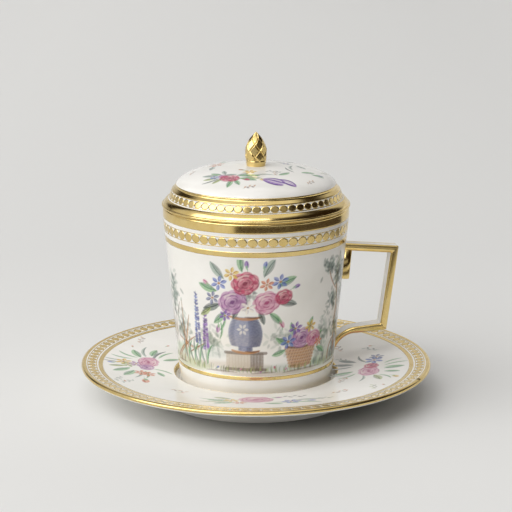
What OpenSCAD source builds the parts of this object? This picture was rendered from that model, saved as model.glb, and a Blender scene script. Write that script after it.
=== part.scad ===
// Covered porcelain cup on a saucer with a deep well.
// Millimetres, +Z up, all three pieces turned about one axis.
// The origin is on that axis, on the table. The cup's handle points along +X.

/* [Saucer] */
// Radius of the saucer at its edge
saucer_r = 68; // [64:0.5:74]
// Height of the saucer's edge above the table
saucer_h = 14; // [12.5:0.25:17]
// Thickness of the saucer's rounded edge
saucer_edge = 1.9; // [1.5:0.1:2.4]
// Thickness of the slope beside the foot ring
saucer_wall = 3.2; // [2.6:0.1:3.8]
// Sag of the slope below a straight line
saucer_sag = 0.25; // [0:0.05:0.8]
// Height of the well floor above the table
well_z = 6; // [5.5:0.1:6.6]
// Depth of the well below its lip
well_depth = 3.45; // [3:0.05:3.9]
// Thickness of the well floor
well_floor = 3.2; // [2.6:0.1:3.8]
// Clearance between the cup's foot and the wall of the well
well_gap = 1.1; // [0.6:0.1:1.8]
// Outward lean of the well's wall from its floor to its lip
well_lean = 1.3; // [0.8:0.1:2]
// Rounding of the well's lip
lip_round = 0.8; // [0.4:0.1:1.2]
// How far the middle of the foot ring's face lies outside the well's lip
foot_ring_set = 5.2; // [4:0.2:10]
// Width of the foot ring's face
foot_ring_w = 2.8; // [2:0.2:4]
// Taper of each side of the foot ring
foot_ring_taper = 0.9; // [0.4:0.1:1.4]
// Rounding of the foot ring's edges
foot_ring_round = 0.4; // [0.2:0.05:0.6]

/* [Cup] */
// Radius of the cup at its foot
cup_foot_r = 29.4; // [27.5:0.2:31]
// Radius of the cup at its rim
cup_rim_r = 35.65; // [34:0.05:38]
// Height of the cup from its foot to its rim
cup_h = 69.4; // [62:0.2:76]
// Swell of the side beyond a straight taper
cup_swell = 0.05; // [0:0.05:0.8]
// How far the rim is drawn in from the line of the side
cup_draw = 0.35; // [0:0.05:0.6]
// Height below the rim over which the side draws in
cup_roll = 4; // [2.5:0.25:6]
// Wall of the cup near its floor
cup_wall = 2.8; // [2.4:0.1:3.4]
// Wall of the cup at its rounded lip
cup_lip = 2.2; // [1.8:0.1:2.6]
// Thickness of the cup's floor above its foot
cup_floor = 4; // [3.2:0.1:5]
// Radius where the inside of the wall turns into the floor
cup_corner = 4; // [2.5:0.5:5]
// Depth of the hollow under the cup's floor
cup_recess = 1.2; // [0.8:0.1:1.8]
// Width of the cup's foot ring
cup_foot_w = 3.2; // [2.4:0.2:4.4]
// Rounding of the cup's outer bottom edge
cup_edge = 0.7; // [0.4:0.1:1.1]

/* [Handle] */
// Drop of the handle's top face below the rim
handle_drop = 16.3; // [13:0.1:19]
// Reach of the top bar from the wall to the outer corner
handle_reach = 20.3; // [17:0.1:23]
// Fall of the top bar towards the outer corner, in degrees
bar_fall = 5.4; // [3:0.2:8]
// Lean of the outer bar from upright, in degrees
bar_lean = 7.8; // [5:0.1:10]
// Thickness of the bars
handle_t = 2.8; // [2.4:0.1:3.4]
// Thickness of the lower arm
arm_t = 2.6; // [2.2:0.1:3]
// Thickness of the arm where it dies into the wall
arm_tip_t = 1.5; // [1.2:0.1:2]
// Flat width of the handle's faces at the top
handle_w_top = 4.6; // [3.6:0.1:5.6]
// Flat width of the handle's faces at the bottom
handle_w_low = 5.3; // [4.6:0.1:6.6]
// Swell of the rounded sides
handle_side = 0.8; // [0.4:0.05:1]
// Length of the tongue that lies on the wall under the top bar
tongue_l = 11.4; // [7:0.2:13]
// How far the tongue stands out from the wall
tongue_out = 3.35; // [2.6:0.05:3.8]
// Flat width of the tongue
tongue_w = 4.2; // [3.4:0.1:4.4]
// Depth by which the handle is let into the wall
handle_root = 0.45; // [0.3:0.05:0.7]
// Radius of the arm's curve down to the wall
arm_r = 9.9; // [8:0.1:12]
// Height above the cup's foot where the arm lies along the wall
arm_foot = 8.2; // [6:0.1:10]
// Fall of the lower arm from the outer corner to its curve, in degrees
arm_fall = 4.6; // [2:0.2:7]

/* [Cover] */
// Overhang of the cover's bead beyond the cup's rim
bead_over = 0.45; // [0.2:0.05:0.8]
// Radius of the bead round the cover's edge
bead_r = 0.5; // [0.4:0.05:0.7]
// Bulge of the sloping moulding between the bead and the banded wall
ovolo_bulge = 0.25; // [0.1:0.05:0.5]
// Flat ledge between that moulding and the banded wall
ovolo_ledge = 0.2; // [0.1:0.05:0.4]
// How far the foot of the banded wall is set in from the cup's rim
band_set = 2.2; // [1.8:0.05:2.6]
// Height of the foot of the banded wall above the cup's rim
band_rise = 3.1; // [2.6:0.1:3.8]
// Height of the banded wall
band_h = 3.3; // [2.6:0.1:4]
// Inward lean of the banded wall from its foot to its top
band_lean = 1.3; // [0.8:0.1:1.6]
// Width of the bevel above the banded wall
bevel_w = 1.35; // [1:0.05:1.8]
// Height of the bevel above the banded wall
bevel_h = 1.1; // [0.8:0.1:1.5]
// Rise of the dome above the bevel
dome_h = 7.7; // [6:0.1:10]
// Fullness of the dome's shoulder: 2 is an ellipse, more is squarer
dome_full = 2.3; // [2:0.05:2.8]
// Wall of the cover
cover_wall = 2.4; // [2:0.1:2.8]
// Depth of the collar that drops into the cup
collar_h = 4; // [3:0.2:6]
// Wall of the collar
collar_wall = 2.2; // [1.8:0.1:2.6]
// Clearance between the collar and the inside of the cup's lip
collar_gap = 0.8; // [0.5:0.1:1.2]

/* [Finial] */
// Height of the bud above the dome
bud_h = 13; // [10:0.5:16]
// Radius of the bud at its widest
bud_r = 4; // [3.6:0.05:4.6]
// Radius of the bud at its base
bud_base_r = 3.5; // [3:0.05:3.6]
// Place of the bud's widest ring, as a share of its height
bud_belly = 0.42; // [0.35:0.01:0.5]
// Sharpness of the bud's point: 2 is a parabola, less is sharper
bud_point = 2.05; // [1.7:0.05:2.4]
// Height of the plain collar under the scales
bud_collar = 1.8; // [1.2:0.1:2.6]
// Depth by which the bud is set into the dome
bud_root = 0.6; // [0.4:0.1:1]
// Scales in each row
scale_count = 6; // [5:1:8]
// Rows of scales
scale_rows = 4; // [3:1:5]
// Depth of the grooves between the scales
scale_groove = 0.35; // [0.15:0.05:0.5]
// How far a scale's corners may stand out beyond the plain outline, as a share of it
scale_corner = 0.04; // [0.02:0.01:0.08]
// Turn of the first row of scales, as a share of a scale
scale_turn = 0.32; // [0:0.01:1]

/* [Hidden] */
glaze = "#f6f3ec";
gilt = "#c79a3e";
round_fn = 96;
arc_steps = 8;
side_steps = 12;
dome_steps = 16;
// Points on each rounded side of the handle
side_points = 6;
// Places round the bud and rings up it
bud_around = 60;
bud_rings = 40;
// Share of the way from a scale's middle to its corner at which the groove begins
groove_from = 0.78;
// How quickly the side draws in under the rim: 1 is a straight line
draw_power = 1.4;
// How quickly the arm thins along its curve
thin_power = 0.8;
// Rounding of the small edges that nothing seats on
soft = 0.35;
// Depth below the bevel at which the inside of the dome springs
inner_spring = 1;
// Height of the slope inside the cover, from the collar's bore up to the dome
inner_slope = 3.4;
// Angle round the arm's curve at which it ends inside the wall
arm_end = 172;

rim_z = well_z + cup_h;
lip_z = well_z + well_depth;
well_r = cup_foot_r + well_gap;
lip_r = well_r + well_lean;
foot_ring_r = lip_r + foot_ring_set;
slope_end = saucer_r - saucer_edge / 2;
cup_floor_z = well_z + cup_floor;
collar_r = cup_rim_r - cup_lip - collar_gap;
band_z = rim_z + band_rise;
band_low_r = cup_rim_r - band_set;
band_top_r = band_low_r - band_lean;
bevel_z = band_z + band_h;
dome_r = band_top_r - bevel_w;
dome_z = bevel_z + bevel_h;
dome_top = dome_z + dome_h;

function unit(v) = v / norm(v);
function left_of(v) = [-v[1], v[0]];
function turned(list) = [for (i = [len(list) - 1:-1:0]) list[i]];

// Points of an arc about c, in the plane of a section
function arc(c, r, from, to, n = arc_steps) =
    [for (i = [0:n]) c + r * [cos(from + (to - from) * i / n), sin(from + (to - from) * i / n)]];

// Corner at b of the outline a, b, c, rounded to radius r
function rounded(a, b, c, r) =
    let (u = unit(a - b), v = unit(c - b))
    let (half = acos(u * v) / 2)
    let (m = b + unit(u + v) * r / sin(half))
    let (p = b + u * r / tan(half) - m, q = b + v * r / tan(half) - m)
    let (from = atan2(p[1], p[0]))
    let (sweep = (atan2(q[1], q[0]) - from + 540) % 360 - 180)
    arc(m, r, from, from + sweep, 5);

// An outline from a list of [corner, radius]
function outline(list) =
    let (n = len(list))
    [for (i = [0:n - 1]) each list[i][1] == 0
        ? [list[i][0]]
        : rounded(list[(i + n - 1) % n][0], list[i][0], list[(i + 1) % n][0], list[i][1])];

// Points of a shallow bow from a to b that bulges to the right
function bowed(a, b, bulge, n = arc_steps) =
    let (out = -left_of(unit(b - a)))
    [for (i = [0:n]) let (t = i / n) a + (b - a) * t + out * bulge * 4 * t * (1 - t)];

// Points that keep their place in an outline
function plain(points) = [for (p = points) [p, 0]];

// Outer radius of the cup's wall at height z: a swelling taper, drawn in a little under the rim
function cup_r(z) =
    let (t = (z - well_z) / cup_h, roll = max(0, (z - rim_z) / cup_roll + 1))
    cup_foot_r + (cup_rim_r + cup_draw - cup_foot_r) * t + cup_swell * 4 * t * (1 - t)
        - cup_draw * pow(roll, draw_power);

// Inner radius of the cup's wall at height z
function bore_r(z) = cup_r(z) - cup_wall - (cup_lip - cup_wall) * (z - well_z) / cup_h;

// Height of the saucer's slope at radius r, between the lip and the edge
function slope_z(r) =
    let (t = (r - lip_r) / (slope_end - lip_r))
    lip_z + (saucer_h - lip_z) * t - saucer_sag * 4 * t * (1 - t);

// Section of the saucer, from the middle of its well out to the edge and back underneath
module saucer_section() {
    ring_in = foot_ring_r - foot_ring_w / 2;
    ring_out = foot_ring_r + foot_ring_w / 2;
    root_r = ring_out + foot_ring_taper;
    under_z = well_z - well_floor;
    polygon(outline(concat(
        [[[0, well_z], 0], [[well_r, well_z], soft], [[lip_r, lip_z], lip_round]],
        plain([for (i = [1:side_steps - 1]) let (r = lip_r + (slope_end - lip_r) * i / side_steps) [r, slope_z(r)]]),
        plain(arc([slope_end, saucer_h - saucer_edge / 2], saucer_edge / 2, 90, -90)),
        [[[root_r, slope_z(root_r) - saucer_wall], 2 * soft]],
        [[[ring_out, 0], foot_ring_round], [[ring_in, 0], foot_ring_round]],
        [[[ring_in - foot_ring_taper, under_z], soft], [[0, under_z], 0]]
    )));
}

module saucer() {
    color(glaze)
        rotate_extrude($fn = round_fn)
            saucer_section();
}

// Section of the cup's body, from its axis along the underside, up the outside and down the inside
module cup_section() {
    foot_in = cup_foot_r - cup_foot_w;
    lip_c = [cup_rim_r - cup_lip / 2, rim_z - cup_lip / 2];
    function step_z(low, i) = low + (lip_c[1] - low) * i / side_steps;
    low_out = well_z + 2 * cup_edge;
    low_in = cup_floor_z + 1.5 * cup_corner;
    polygon(outline(concat(
        [[[0, well_z + cup_recess], 0], [[foot_in - cup_recess / 2, well_z + cup_recess], soft]],
        [[[foot_in, well_z], soft], [[cup_foot_r, well_z], cup_edge]],
        plain([for (i = [0:side_steps - 1]) let (z = step_z(low_out, i)) [cup_r(z), z]]),
        plain(arc(lip_c, cup_lip / 2, 0, 180)),
        plain([for (i = [side_steps - 1:-1:0]) let (z = step_z(low_in, i)) [bore_r(z), z]]),
        [[[bore_r(cup_floor_z), cup_floor_z], cup_corner], [[0, cup_floor_z], 0]]
    )));
}

// The handle is a strip swept along a line in the plane of X and Z, and a tongue down the wall.
// The strip leaves the wall, turns two mitred corners and curves back into the wall near the foot.
top_z = rim_z - handle_drop;
tip_z = top_z - handle_t - tongue_l;
bar_out = [cos(bar_fall), -sin(bar_fall)];
bar_down = [-sin(bar_lean), -cos(bar_lean)];
bar_start = [cup_r(top_z), top_z - handle_t / 2];
corner_top = bar_start + bar_out * handle_reach;
curve_c = [cup_r(well_z + arm_foot) + arm_r - handle_root, well_z + arm_foot];
curve_top = curve_c + [0, arm_r];
// Length of the outer bar down to the line of the lower arm
bar_l = (corner_top[1] - curve_top[1] - (corner_top[0] - curve_top[0]) * tan(arm_fall))
    / (cos(bar_lean) - sin(bar_lean) * tan(arm_fall));
corner_low = corner_top + bar_down * bar_l;

// Half the flat width of the strip at height z
function half_width(z) =
    (handle_w_low + (handle_w_top - handle_w_low) * (z - curve_top[1]) / (top_z - curve_top[1])) / 2;

// A station of a strip: [point on its middle line, half its thickness, half its flat width]
function station(p, t) = [p, t / 2, half_width(p[1])];

strip = concat(
    [station(bar_start - bar_out * 2 * handle_root, handle_t)],
    [station(corner_top, handle_t)],
    [station(corner_low, (handle_t + arm_t) / 2)],
    [for (i = [0:arc_steps])
        station(arc(curve_c, arm_r, 90, arm_end)[i],
            arm_t + (arm_tip_t - arm_t) * pow(i / arc_steps, thin_power))]
);
tongue = [for (z = [tip_z, top_z - handle_t / 2])
    [[cup_r(z) + (tongue_out - handle_root) / 2, z], (tongue_out + handle_root) / 2, tongue_w / 2]];

// Direction of a list of stations from station i to the next
function run(list, i) = let (k = max(0, min(len(list) - 2, i))) unit(list[k + 1][0] - list[k][0]);

// Direction of the thickness at station i, stretched where two bars meet in a mitre
function across(list, i) =
    let (a = left_of(run(list, i - 1)), b = left_of(run(list, i)))
    (a + b) / (1 + a * b);

// Ring of points round station i: two flat faces, and each side half an ellipse
function strip_ring(list, i) =
    let (p = list[i][0], h = list[i][1], w = list[i][2], n = across(list, i))
    [for (side = [1, -1], k = [0:side_points])
        let (a = 180 * k / side_points, out = side * h * cos(a))
        [p[0] + n[0] * out, side * (w + handle_side * sin(a)), p[1] + n[1] * out]];

module swept(list) {
    ring = 2 * (side_points + 1);
    last = len(list) - 1;
    polyhedron(
        points = [for (i = [0:last]) each strip_ring(list, i)],
        faces = concat(
            [[for (k = [ring - 1:-1:0]) k]],
            [for (i = [0:last - 1], k = [0:ring - 1]) let (a = i * ring + k, b = i * ring + (k + 1) % ring)
                [a, b, b + ring, a + ring]],
            [[for (k = [0:ring - 1]) last * ring + k]]
        ),
        convexity = 6
    );
}

module handle() {
    swept(strip);
    swept(tongue);
}

module cup() {
    color(glaze)
        union() {
            rotate_extrude($fn = round_fn)
                cup_section();
            color(gilt)
                handle();
        }
}

// Curve from radius r at height z up to the axis at height top
function dome(r, z, top) =
    [for (i = [0:dome_steps]) let (a = 90 * i / dome_steps)
        [r * pow(max(0, cos(a)), 2 / dome_full), z + (top - z) * sin(a)]];

// Section of the cover, from its collar up the outside to the axis and down the inside
module cover_section() {
    inside_r = collar_r - collar_wall;
    collar_z = rim_z - collar_h;
    spring_z = bevel_z - inner_spring;
    bead_c = [cup_rim_r + bead_over - bead_r, rim_z + bead_r];
    bead_top = bead_c + [0, bead_r];
    polygon(outline(concat(
        [[[inside_r, collar_z], soft], [[collar_r, collar_z], soft], [[collar_r, rim_z], 0]],
        plain(arc(bead_c, bead_r, -90, 75)),
        plain(bowed(bead_top, [band_low_r + ovolo_ledge, band_z], ovolo_bulge)),
        [[[band_low_r, band_z], 0], [[band_top_r, bevel_z], soft]],
        plain(dome(dome_r, dome_z, dome_top)),
        plain(turned(dome(band_top_r - cover_wall, spring_z, dome_top - cover_wall))),
        [[[inside_r, spring_z - inner_slope], 2 * soft]]
    )));
}

bud_l = bud_root + bud_h;
scale_pitch = (bud_h - bud_collar) / (scale_rows + 0.75);

// Plain outline of the bud: its radius at height z above its root
function bud_outline(z) =
    let (u = z / bud_l)
    u < bud_belly
        ? bud_r - (bud_r - bud_base_r) * pow((bud_belly - u) / bud_belly, 2)
        : bud_r * (1 - pow(min(1, (u - bud_belly) / (1 - bud_belly)), bud_point));

// Height of the middle of a row of scales
function scale_mid(row) = bud_root + bud_collar + scale_pitch * (row + 0.85);

// Way round from the nearest scale of a row, as a share of a scale
function scale_way(turn, row) =
    let (place = turn * scale_count / 360 + (row % 2) / 2 + scale_turn)
    place - round(place);

// Radius of the flat face of that scale, which touches the outline at the scale's middle
function scale_face(turn, z, row) =
    let (mid = scale_mid(row), step = scale_pitch / 20)
    let (slope = (bud_outline(mid + step) - bud_outline(mid - step)) / (2 * step))
    (bud_outline(mid) + slope * (z - mid)) / cos(scale_way(turn, row) * 360 / scale_count);

// Radius of the bud: a plain collar, then diamond scales with grooves between them
function bud_side(turn, z) =
    let (rows = [0:scale_rows - 1], plain_r = bud_outline(z))
    let (face = min([for (row = rows) scale_face(turn, z, row)]))
    let (way = min([for (row = rows) 2 * abs(scale_way(turn, row)) + abs(z - scale_mid(row)) / scale_pitch]))
    let (groove = scale_groove * min(1, max(0, (way - groove_from) / (1 - groove_from))))
    let (share = min(1, max(0, (z - bud_root - bud_collar) / scale_groove), (bud_l - z) * 6 / bud_l))
    plain_r + share * (min(face, plain_r * (1 + scale_corner)) - groove - plain_r);

// The finial: a pointed bud of diamond scales over a plain collar
module bud() {
    rings = [for (j = [0:bud_rings - 1]) let (z = bud_l * j / bud_rings)
        [for (i = [0:bud_around - 1]) let (turn = 360 * i / bud_around)
            let (r = bud_side(turn, z))
            [r * cos(turn), r * sin(turn), z]]];
    tip = bud_around * bud_rings;
    translate([0, 0, dome_top - bud_root])
        polyhedron(
            points = concat([for (r = rings) each r], [[0, 0, bud_l]]),
            faces = concat(
                [[for (i = [0:bud_around - 1]) i]],
                [for (j = [0:bud_rings - 2], i = [0:bud_around - 1])
                    let (a = j * bud_around + i, b = j * bud_around + (i + 1) % bud_around)
                    [a, a + bud_around, b + bud_around, b]],
                [for (i = [0:bud_around - 1])
                    [tip - bud_around + i, tip, tip - bud_around + (i + 1) % bud_around]]
            ),
            convexity = 8
        );
}

module cover() {
    color(glaze)
        union() {
            rotate_extrude($fn = round_fn)
                cover_section();
            color(gilt)
                bud();
        }
}

saucer();
cup();
cover();
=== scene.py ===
import math

import bpy
import numpy as np
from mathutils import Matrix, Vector


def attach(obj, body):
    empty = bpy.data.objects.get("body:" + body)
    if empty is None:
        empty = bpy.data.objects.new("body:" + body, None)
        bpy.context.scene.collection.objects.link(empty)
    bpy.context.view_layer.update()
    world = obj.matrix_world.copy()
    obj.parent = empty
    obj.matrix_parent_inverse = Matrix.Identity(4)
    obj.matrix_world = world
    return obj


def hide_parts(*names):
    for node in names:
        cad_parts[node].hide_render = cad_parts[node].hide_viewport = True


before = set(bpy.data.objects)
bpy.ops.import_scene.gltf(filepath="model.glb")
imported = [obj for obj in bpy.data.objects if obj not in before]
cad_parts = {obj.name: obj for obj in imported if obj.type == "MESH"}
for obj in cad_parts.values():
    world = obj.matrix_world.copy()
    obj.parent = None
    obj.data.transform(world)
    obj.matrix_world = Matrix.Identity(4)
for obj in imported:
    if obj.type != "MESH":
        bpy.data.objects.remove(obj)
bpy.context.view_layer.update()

MM = 0.001

# Saucer
SAUCER_R = 68
SAUCER_H = 14
SAUCER_EDGE = 1.9
SAUCER_WALL = 3.2
SAUCER_SAG = 0.25
WELL_Z = 6
WELL_R = 30.5
LIP_R = 31.8
LIP_Z = 9.45
LIP_ROUND = 0.8
SLOPE_START = LIP_R + 2
UNDER_Z = 2.8
FOOT_RING_R = 37
FOOT_RING_W = 2.8
FOOT_RING_TAPER = 0.9
FOOT_RING_ROUND = 0.4
SLOPE_END = SAUCER_R - SAUCER_EDGE / 2

# Cup
FOOT_R = 29.4
RIM_R = 35.65
CUP_H = 69.4
SWELL = 0.05
DRAW = 0.35
ROLL = 4
WALL = 2.8
LIP_T = 2.2
FLOOR_Z = 10
CORNER = 4
RECESS = 1.2
FOOT_W = 3.2
FOOT_EDGE = 0.7
RIM_Z = WELL_Z + CUP_H
LIP_C = (RIM_R - LIP_T / 2, RIM_Z - LIP_T / 2)

# Handle
TOP_Z = RIM_Z - 16.3
REACH = 20.3
BAR_FALL = math.radians(5.4)
BAR_LEAN = math.radians(7.8)
BAR_T = 2.8
ARM_T = 2.6
ARM_TIP_T = 1.5
WIDE_TOP = 4.6
WIDE_LOW = 5.3
SIDE_SWELL = 0.8
TONGUE_L = 11.4
TONGUE_OUT = 3.35
TONGUE_W = 4.2
ROOT = 0.45
ARM_R = 9.9
ARM_FOOT = 8.2
ARM_FALL = math.radians(4.6)
ARM_END = 172

# Cover
BEAD_R = 0.5
BEAD_C = (RIM_R + 0.45 - BEAD_R, RIM_Z + BEAD_R)
BAND_LOW = (33.45, RIM_Z + 3.1)
BAND_TOP = (32.15, RIM_Z + 6.4)
LEDGE = 0.2
BULGE = 0.25
DOME_R = 30.8
DOME_Z = BAND_TOP[1] + 1.1
DOME_TOP = DOME_Z + 7.7
DOME_FULL = 2.3
COVER_WALL = 2.4
COLLAR_R = 32.6
COLLAR_Z = RIM_Z - 4
INSIDE_R = 30.4
SPRING_Z = BAND_TOP[1] - 1

# Bud on the cover
BUD_H = 13
BUD_R = 4
BUD_BASE_R = 3.5
BUD_BELLY = 0.42
BUD_POINT = 2.05
BUD_COLLAR = 1.8
BUD_ROOT = 0.6
SCALE_COUNT = 6
SCALE_ROWS = 4
SCALE_GROOVE = 0.35
SCALE_CORNER = 0.04
SCALE_TURN = 0.32
GROOVE_FROM = 0.78

# Steps round a turned piece, and how far gilding stands on the glaze and reaches into it
ROUND = 256
GILT_LIFT = 0.03
GILT_SINK = 0.05
# How far the enamel stands on the glaze, and the radius at which the cup's painting is laid out
ENAMEL_LIFT = 0.02
CUP_MID_R = 33.3
# The draws that vary the painter's hand, the same in every run
HAND = np.random.default_rng(11)
# Colour as pale as this counts as bare glaze
BARE = 0.97
# Rounding of the small corners of all three pieces
SOFT = 0.35
# Distance from a rounding at which a straight side is held flat
HOLD = 0.06
# How far the points of a slope or wall stop short of the rounded edge at its end
SHY = 0.4
# Width of the gilding at each edge of the handle's outer face
OUTER_EDGE = 0.9
# How far the first end of each bar of the handle is eased
END_EASE = 0.25

# Turn between the handle and the photographed view, in degrees, and the camera's place about the piece
VIEW_TURN = 11
CAMERA_AWAY = 722
CAMERA_RISE = 13.36
AIM_Z = 55
LENS = 131.55
SENSOR = 36

# Gilding on the saucer: the radius at which the gilt edge begins and the angle on the rounded edge at which
# it ends, the share of the well's wall below its ring, and the radii of the lines
GILT_EDGE_FROM = 66.15
GILT_EDGE_END = -20
WELL_RING_FROM = 0.55
SAUCER_LINES = (("saucer_chain_line_out", 65.4, 65.75),
                ("saucer_chain_line_in", 62.0, 62.35),
                ("saucer_inner_line", 59.7, 61.4))
# Gilding on the cup: the foot of the gilt rim and the lines, as heights
GILT_RIM_LOW = 71.5
CUP_LINES = (("cup_chain_line_top", 70.1, 69.8),
             ("cup_chain_line_low", 66.5, 66.2),
             ("cup_upper_line", 64.5, 62.5),
             ("cup_lower_line", 15.5, 14.1))
# Chains: number of discs, bearing of the first from the front, radius on the saucer or height on the cup,
# and size of a disc
SAUCER_CHAIN = (108, 213.25, 63.88, (3.5, 3.0))
CUP_CHAIN = (58, 4.2, 68.15, (3.8, 3.25))
COVER_CHAIN = (61, 0.3, (3.42, 2.55))

# The worn spot: bearing from the front, radius, length, width, and how far its skin stands on the glaze
WORN_BEARING = 65.6
WORN_R = 67.1
WORN_LONG = 0.5
WORN_WIDE = 1.1
WORN_LIFT = 0.06

# Distances from the axis at which the dark cloth on the floor begins and ends
CLOTH_FROM = 228
CLOTH_TO = 2400
CLOTH_BEARINGS = (-25, 125)
# The paper lies flat to this distance and then turns up to this radius
PAPER_FLAT = 2600
PAPER_TURN = 1400
# Middle of the painted shadow on the paper under the saucer, and where it begins and ends to pale, in metres
PAINTED_SHADOW_MIDDLE = (0.009, 0, 0)
PAINTED_SHADOW_RADII = (0.034, 0.058)

# The soft box: its bearing from the camera and its height in degrees, its half sizes and its strength
BOX_TURN = -55
BOX_RISE = 38
BOX_HALF = (0.5, 0.31)
BOX_STRENGTH = 2.65
# How softly the fields end, in degrees round and in sine of height, and how softly the box ends
FIELD_SOFT = 6
RISE_SOFT = 0.04
BOX_SOFT = 0.08
# Colour of the unlit room
ROOM = (0.02, 0.011, 0.004, 1)
# Fields of light round the room: middle bearing and half width in degrees, lower and upper sine of
# their height, strength
FIELDS = ((-12, 33, 0.7, 0.86, 3.45),
          (-90, 45, 0.7, 0.86, 0.65),
          (65, 45, 0.76, 0.86, 0.15),
          (0, 190, 0.86, 2.0, 0.88),
          (172, 36, -0.5, 0.7, 0.6),
          (12, 34, 0.4, 0.55, 0.4),
          (-90, 38, 0.0, 0.7, 0.67))


def linear(colour):
    """Linear RGBA of an sRGB hex colour."""
    parts = [int(colour[i:i + 2], 16) / 255 for i in (1, 3, 5)]
    return (*[c / 12.92 if c <= 0.04045 else ((c + 0.055) / 1.055) ** 2.4 for c in parts], 1)


def add(tree, kind, settings=None, **sockets):
    """Adds a node with its settings; a socket gets a number, a colour or a link. s0 is the first socket."""
    node = tree.nodes.new("ShaderNode" + kind)
    for name, value in (settings or {}).items():
        setattr(node, name, value)
    for name, value in sockets.items():
        key = int(name[1:]) if name[0] == "s" and name[1:].isdigit() else name.replace("_", " ")
        if isinstance(value, bpy.types.NodeSocket):
            tree.links.new(value, node.inputs[key])
        else:
            node.inputs[key].default_value = value
    return node


def stops(node, *places):
    """Sets a colour ramp's stops: each a place and a colour."""
    elements = node.color_ramp.elements
    while len(elements) < len(places):
        elements.new(1)
    for element, (place, colour) in zip(elements, places):
        element.position = place
        element.color = colour
    return node


def new_material(name):
    """An empty material and its Principled shader."""
    material = bpy.data.materials.new(name)
    material.use_nodes = True
    material.node_tree.nodes.clear()
    tree = material.node_tree
    shader = add(tree, "BsdfPrincipled")
    out = add(tree, "OutputMaterial")
    tree.links.new(shader.outputs[0], out.inputs[0])
    return material, tree, shader


def glaze_look(tree, shader, paint=None):
    """Glazed hard-paste porcelain: a warm white with faint clouds, and a hard gloss that ripples a little."""
    place = add(tree, "TexCoord").outputs["Object"]
    clouds = add(tree, "TexNoise", Vector=place, Scale=1 / (14 * MM), Detail=3.0)
    tone = stops(add(tree, "ValToRGB", Fac=clouds.outputs[0]),
                 (0.35, linear("#EFEDE7")), (0.65, linear("#F5F3EE")))
    colour = tone.outputs[0]
    if paint is not None:
        colour = add(tree, "Mix", {"data_type": "RGBA", "blend_type": "MULTIPLY"}, Factor=1.0,
                     s6=colour, s7=paint).outputs[2]
    ripple = add(tree, "TexNoise", Vector=place, Scale=1 / (3.5 * MM), Detail=1.0)
    bump = add(tree, "Bump", Strength=0.05, Distance=0.1 * MM, Height=ripple.outputs[0])
    gloss = add(tree, "MapRange", Value=clouds.outputs[0], To_Min=0.07, To_Max=0.13)
    tree.links.new(colour, shader.inputs["Base Color"])
    tree.links.new(gloss.outputs[0], shader.inputs["Roughness"])
    tree.links.new(bump.outputs[0], shader.inputs["Normal"])
    shader.inputs["IOR"].default_value = 1.5


def porcelain_material():
    """White glazed porcelain, bare of paint."""
    material, tree, shader = new_material("glazed_porcelain")
    glaze_look(tree, shader)
    return material


def enamel_material():
    """Enamel colours painted thin on the glaze and fired into it: the white shows through every colour."""
    material, tree, shader = new_material("enamel_on_glaze")
    paint = add(tree, "Attribute", {"attribute_name": "paint"})
    glaze_look(tree, shader, paint.outputs["Color"])
    return material


def gilding_material():
    """Fired gold, burnished by hand: a soft mirror with faint streaks, a little redder where it is thin."""
    material, tree, shader = new_material("burnished_gilding")
    place = add(tree, "TexCoord").outputs["Object"]
    patches = add(tree, "TexNoise", Vector=place, Scale=1 / (5 * MM), Detail=4.0, Roughness=0.6)
    tone = stops(add(tree, "ValToRGB", Fac=patches.outputs[0]),
                 (0.3, linear("#E2C57C")), (0.7, linear("#ECD394")))
    streaks = add(tree, "TexNoise", Vector=place, Scale=1 / (0.9 * MM), Detail=3.0)
    gloss = add(tree, "MapRange", Value=streaks.outputs[0], To_Min=0.12, To_Max=0.22)
    bump = add(tree, "Bump", Strength=0.05, Distance=0.03 * MM, Height=streaks.outputs[0])
    tree.links.new(tone.outputs[0], shader.inputs["Base Color"])
    tree.links.new(gloss.outputs[0], shader.inputs["Roughness"])
    tree.links.new(bump.outputs[0], shader.inputs["Normal"])
    shader.inputs["Metallic"].default_value = 1
    return material


def speckled(name, cell, dark, pale, roughness):
    """A matt material of two shades in specks; cell is their size in millimetres."""
    material, tree, shader = new_material(name)
    place = add(tree, "TexCoord").outputs["Object"]
    specks = add(tree, "TexNoise", Vector=place, Scale=1 / (cell * MM), Detail=2.0)
    tone = stops(add(tree, "ValToRGB", Fac=specks.outputs[0]), (0.3, linear(dark)), (0.7, linear(pale)))
    tree.links.new(tone.outputs[0], shader.inputs["Base Color"])
    shader.inputs["Roughness"].default_value = roughness
    return material


def dirt_material():
    """Old dirt in a chip of the gilding: matt dark brown, so the spot shows no shine."""
    return speckled("dirt_in_chip", 0.3, "#4E431A", "#6A5B26", 0.9)


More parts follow.
